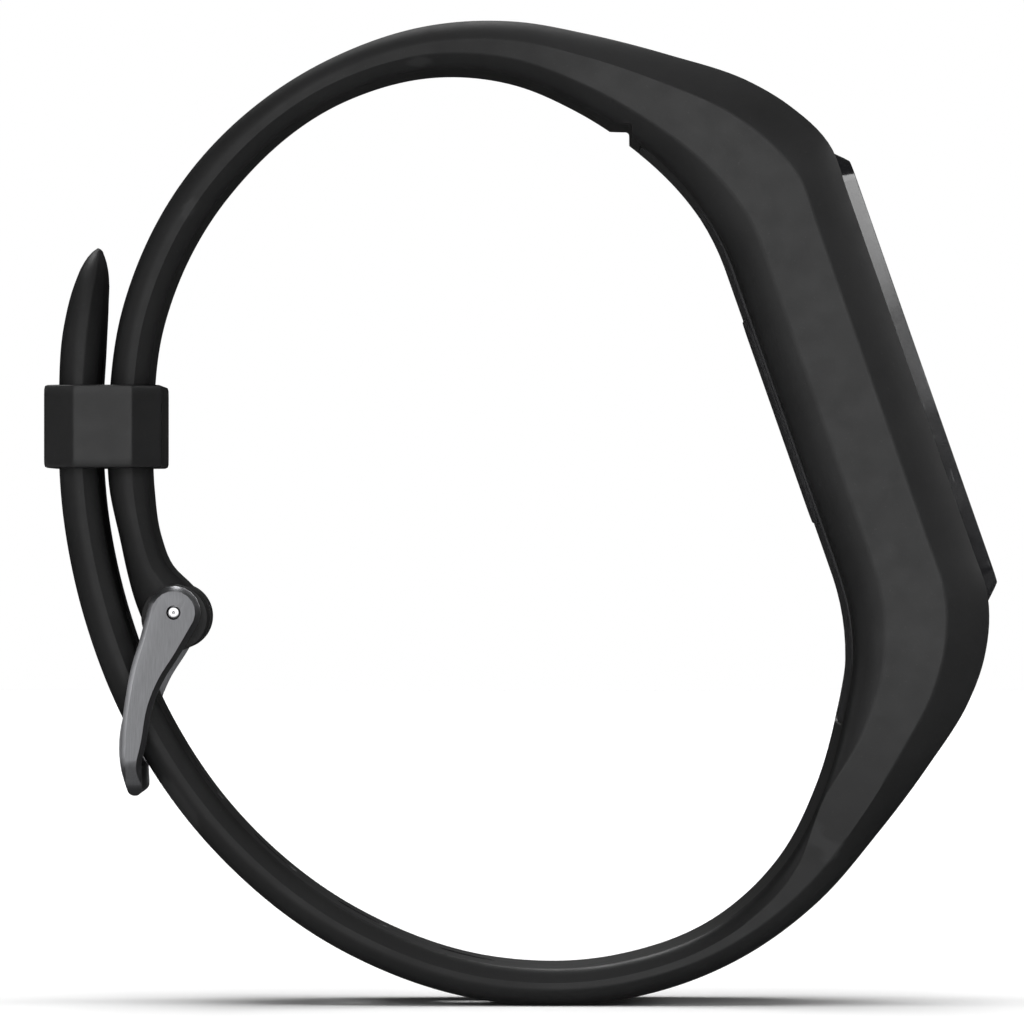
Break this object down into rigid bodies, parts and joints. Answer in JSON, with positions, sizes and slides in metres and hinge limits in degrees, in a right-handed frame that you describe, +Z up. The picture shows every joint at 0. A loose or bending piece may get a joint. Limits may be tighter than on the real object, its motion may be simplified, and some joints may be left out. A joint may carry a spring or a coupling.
{
  "type": "fitness tracker band",
  "caption": "Buckled silicone wrist band with a removable tracker module, display and button, steel pin buckle with tongue and spring bar, and a sliding keeper loop.",
  "frame": {"origin": "centre of the wrist opening, midway across the band's width", "axes": "+X towards the display side, +Y along the wrist, +Z up; the display faces 19.3 degrees above +X"},
  "size_m": [0.0631, 0.0194, 0.0651],
  "materials": {
    "silicone": "soft matt moulded silicone",
    "satin_steel": "satin",
    "bright_steel": "bright",
    "shell_plastic": "fine moulded texture",
    "gloss_plastic": "gloss",
    "lens": "polished smoked window",
    "display_panel": "gloss",
    "diffuser": "frosted",
    "circuit_board": "solder mask",
    "chip_plastic": "moulded epoxy",
    "flex_film": "film",
    "copper": "bare",
    "nickel_steel": "nickel plated",
    "seal_rubber": "matt"
  },
  "bodies": {
    "band": {"band": "silicone", "spring_bar_tube": "satin_steel", "spring_bar_spring": "bright_steel"},
    "keeper": {"keeper_loop": "silicone"},
    "buckle": {"buckle_frame": "satin_steel"},
    "tongue": {"buckle_tongue": "satin_steel"},
    "bar_tip_near": {"spring_bar_tip_near": "bright_steel"},
    "bar_tip_far": {"spring_bar_tip_far": "bright_steel"},
    "module": {"module_housing": "shell_plastic", "back_cover": "shell_plastic", "back_gasket": "seal_rubber", "back_screw_1": "bright_steel", "back_screw_2": "bright_steel", "back_screw_3": "bright_steel", "back_screw_4": "bright_steel", "display_bezel": "gloss_plastic", "display_lens": "lens", "display_panel": "display_panel", "backlight": "diffuser", "display_flex": "flex_film", "button_gasket": "seal_rubber", "button_board": "circuit_board", "dome_switch": "nickel_steel", "main_board": "circuit_board", "processor_chip": "chip_plastic", "radio_chip": "chip_plastic", "accelerometer_chip": "chip_plastic", "crystal": "nickel_steel", "antenna": "copper", "coin_battery": "nickel_steel", "battery_contact_plus": "nickel_steel", "battery_contact_minus": "nickel_steel", "battery_tray": "shell_plastic"},
    "button": {"button_cap": "gloss_plastic"}
  },
  "joints": [
    {"name": "keeper_slide", "type": "slide", "parent": "band", "child": "keeper", "axis": [0, 0, 1], "range_m": [-0.002, 0.0015]},
    {"name": "buckle_swing", "type": "hinge", "parent": "band", "child": "buckle", "pos_m": [-0.0215, 0, -0.0061], "axis": [0, 1, 0], "range_deg": [0, 5]},
    {"name": "tongue_swing", "type": "hinge", "parent": "band", "child": "tongue", "pos_m": [-0.0215, 0, -0.0061], "axis": [0, 1, 0], "range_deg": [0, 5]},
    {"name": "bar_tip_near_press", "type": "slide", "parent": "band", "child": "bar_tip_near", "axis": [0, 1, 0], "range_m": [0, 0.0012], "stiffness_N_per_m": 500, "springref_m": -0.0008, "deforming": ["spring_bar_spring"]},
    {"name": "bar_tip_far_press", "type": "slide", "parent": "band", "child": "bar_tip_far", "axis": [0, -1, 0], "range_m": [0, 0.0012], "stiffness_N_per_m": 500, "springref_m": -0.0008},
    {"name": "module_release", "type": "slide", "parent": "band", "child": "module", "axis": [-0.9438, 0, -0.3305], "range_m": [0, 0.014]},
    {"name": "button_press", "type": "slide", "parent": "module", "child": "button", "axis": [-0.9438, 0, -0.3305], "range_m": [0, 0.00025], "stiffness_N_per_m": 4000, "springref_m": -0.0001}
  ],
  "couplings": [
    {"joint": "tongue_swing", "follows": "buckle_swing", "ratio": 1}
  ]
}
